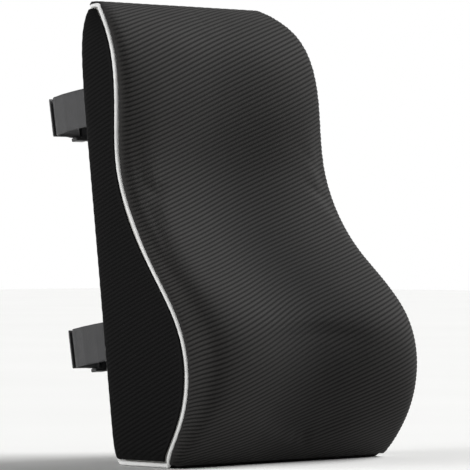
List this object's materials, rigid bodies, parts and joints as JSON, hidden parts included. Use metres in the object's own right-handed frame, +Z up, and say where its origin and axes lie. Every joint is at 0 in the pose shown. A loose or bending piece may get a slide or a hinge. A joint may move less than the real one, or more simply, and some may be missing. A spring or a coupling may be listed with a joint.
{
  "type": "lumbar support cushion",
  "caption": "Tall contoured lumbar cushion: moulded foam in a piped, zipped mesh cover, with buckled strap loops behind that go round a chair's back.",
  "frame": {"origin": "on the floor, under the middle of the bounding box, with the cushion standing on its base", "axes": "+Z up the cushion; -Y is the side the user leans on; +Y is the side with the straps; +X to the right of someone looking at its front"},
  "size_m": [0.3137, 0.2666, 0.4552],
  "materials": {
    "foam": "open-cell memory foam, moulded",
    "liner_cloth": "thin knitted liner",
    "front_mesh": "black spacer mesh with fine slanting ribs",
    "side_cloth": "matt black woven cloth",
    "white_piping": "white piping cord in a smooth sleeve",
    "black_webbing": "dark elastic webbing, ribbed",
    "black_plastic": "moulded acetal, satin",
    "black_tape": "woven zip tape",
    "black_coil": "nylon zip coil",
    "dark_metal": "dark painted die casting"
  },
  "bodies": {
    "root": {"foam_core": "foam", "inner_liner": "liner_cloth", "front_panel": "front_mesh", "base_panel": "front_mesh", "side_panel_left": "side_cloth", "side_panel_right": "side_cloth", "back_panel_upper": "side_cloth", "back_panel_lower": "side_cloth", "piping_left": "white_piping", "piping_right": "white_piping", "upper_strap_left": "black_webbing", "upper_strap_right": "black_webbing", "upper_buckle_socket": "black_plastic", "upper_buckle_plug": "black_plastic", "lower_strap_left": "black_webbing", "lower_strap_right": "black_webbing", "lower_buckle_socket": "black_plastic", "lower_buckle_plug": "black_plastic", "zip_tape_upper": "black_tape", "zip_coil_upper": "black_coil", "zip_tape_lower": "black_tape", "zip_coil_lower": "black_coil", "zip_stop_left": "dark_metal", "zip_stop_right": "dark_metal"},
    "zip_slider": {"zip_slider": "dark_metal"},
    "zip_pull": {"zip_pull": "dark_metal"},
    "upper_buckle_arm_top": {"upper_buckle_arm_top": "black_plastic"},
    "upper_buckle_arm_bottom": {"upper_buckle_arm_bottom": "black_plastic"},
    "upper_strap_keeper": {"upper_strap_keeper": "black_plastic"},
    "lower_buckle_arm_top": {"lower_buckle_arm_top": "black_plastic"},
    "lower_buckle_arm_bottom": {"lower_buckle_arm_bottom": "black_plastic"},
    "lower_strap_keeper": {"lower_strap_keeper": "black_plastic"}
  },
  "joints": [
    {"name": "zip_slide", "type": "slide", "parent": "root", "child": "zip_slider", "axis": [1, 0, 0], "range_m": [0, 0.245]},
    {"name": "zip_pull_flip", "type": "hinge", "parent": "zip_slider", "child": "zip_pull", "pos_m": [-0.12266, 0.02247, 0.06073], "axis": [0, 0.165, 0.9863], "range_deg": [0, 175]},
    {"name": "upper_buckle_squeeze", "type": "hinge", "parent": "root", "child": "upper_buckle_arm_top", "pos_m": [-0.05165, 0.1279, 0.35508], "axis": [0, -0.9863, 0.165], "range_deg": [0, 7], "stiffness_Nm_per_rad": 1},
    {"name": "upper_buckle_squeeze_bottom", "type": "hinge", "parent": "root", "child": "upper_buckle_arm_bottom", "pos_m": [-0.05165, 0.12305, 0.32609], "axis": [0, -0.9863, 0.165], "range_deg": [-7, 0], "stiffness_Nm_per_rad": 1},
    {"name": "upper_keeper_slide", "type": "slide", "parent": "root", "child": "upper_strap_keeper", "axis": [1, 0, 0], "range_m": [-0.04, 0.024]},
    {"name": "lower_buckle_squeeze", "type": "hinge", "parent": "root", "child": "lower_buckle_arm_top", "pos_m": [-0.06141, 0.08941, 0.12508], "axis": [0, -0.9863, 0.165], "range_deg": [0, 7], "stiffness_Nm_per_rad": 1},
    {"name": "lower_buckle_squeeze_bottom", "type": "hinge", "parent": "root", "child": "lower_buckle_arm_bottom", "pos_m": [-0.06141, 0.08456, 0.09609], "axis": [0, -0.9863, 0.165], "range_deg": [-7, 0], "stiffness_Nm_per_rad": 1},
    {"name": "lower_keeper_slide", "type": "slide", "parent": "root", "child": "lower_strap_keeper", "axis": [1, 0, 0], "range_m": [-0.06, 0.024]}
  ],
  "couplings": [
    {"joint": "upper_buckle_squeeze_bottom", "follows": "upper_buckle_squeeze", "ratio": -1},
    {"joint": "lower_buckle_squeeze_bottom", "follows": "lower_buckle_squeeze", "ratio": -1}
  ]
}
